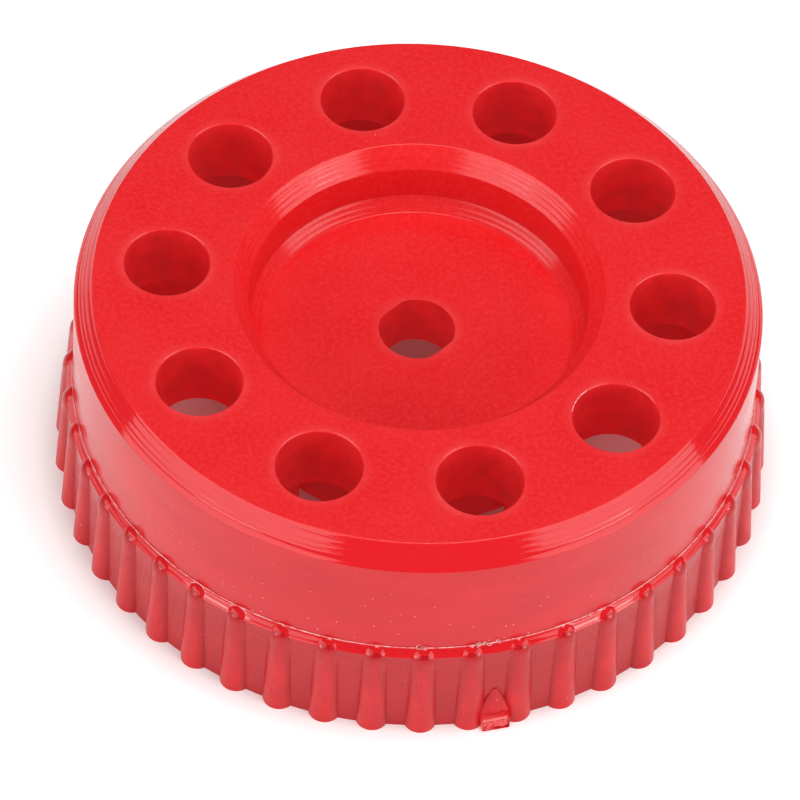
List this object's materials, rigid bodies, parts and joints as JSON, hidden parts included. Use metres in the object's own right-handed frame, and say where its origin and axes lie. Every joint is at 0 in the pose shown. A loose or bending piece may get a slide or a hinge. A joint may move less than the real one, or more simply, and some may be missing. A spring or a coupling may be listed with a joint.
{
  "type": "holed cap",
  "caption": "Round moulded plastic cap: smooth drum with a ring of through holes and a stepped central recess, ribbed grip skirt, hollow underneath.",
  "frame": {"origin": "centre of the base rim's plane, on the cap's axis", "axes": "+Z along the cap's axis, up through the holed face; -Y towards the gate stub and one ring hole"},
  "size_m": [0.0542, 0.0543, 0.0189],
  "materials": {
    "red_plastic": "glossy injection-moulded, self-coloured red"
  },
  "bodies": {
    "root": {"holed_cap": "red_plastic"}
  },
  "joints": []
}
